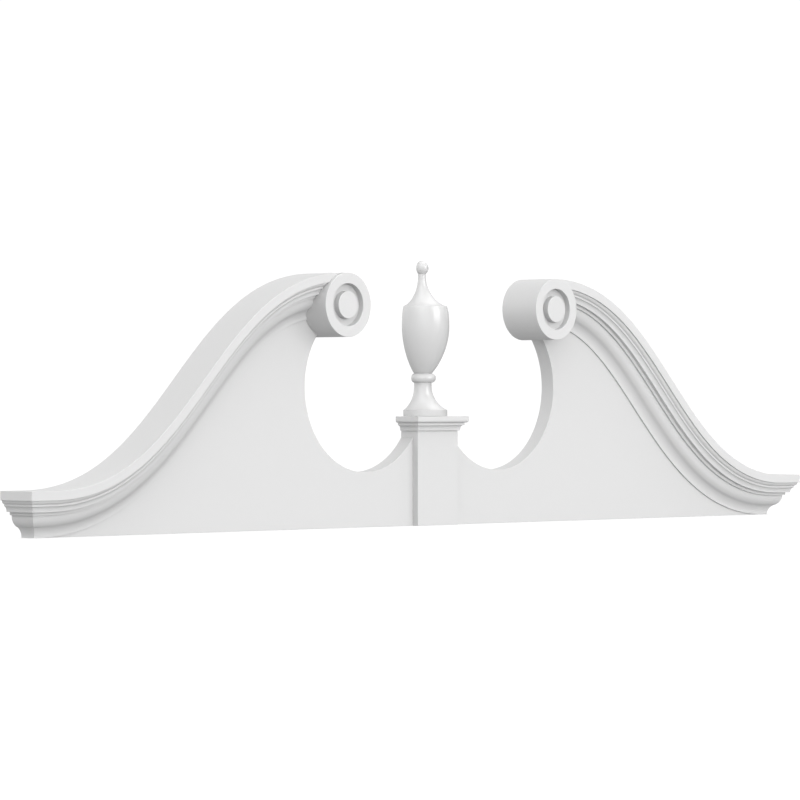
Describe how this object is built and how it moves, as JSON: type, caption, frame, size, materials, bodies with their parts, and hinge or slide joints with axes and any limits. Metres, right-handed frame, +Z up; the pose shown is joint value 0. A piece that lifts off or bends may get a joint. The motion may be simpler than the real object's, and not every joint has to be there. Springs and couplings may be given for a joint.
{
  "type": "rams head pediment",
  "caption": "Broken scroll pediment for a door head: raking crown mouldings that end in round drums, round bays, a centre pedestal and a half-round urn on a flat back.",
  "frame": {"origin": "on the underside, on the centre line, halfway between the flat back and the faces of the drums", "axes": "+X to the right seen from the front, -Y out of the wall towards the viewer, +Z up"},
  "size_m": [2.568, 0.1074, 0.611],
  "materials": {
    "board": "white primed, matt",
    "moulding": "white primed, matt",
    "drum": "white primed, matt",
    "pedestal": "white primed, matt",
    "cap": "white primed, matt",
    "urn": "white, satin"
  },
  "bodies": {
    "root": {"tympanum_board": "board", "left_raking_moulding": "moulding", "right_raking_moulding": "moulding", "left_scroll_drum": "drum", "right_scroll_drum": "drum", "pedestal_block": "pedestal", "pedestal_cap": "cap", "urn_finial": "urn"}
  },
  "joints": []
}
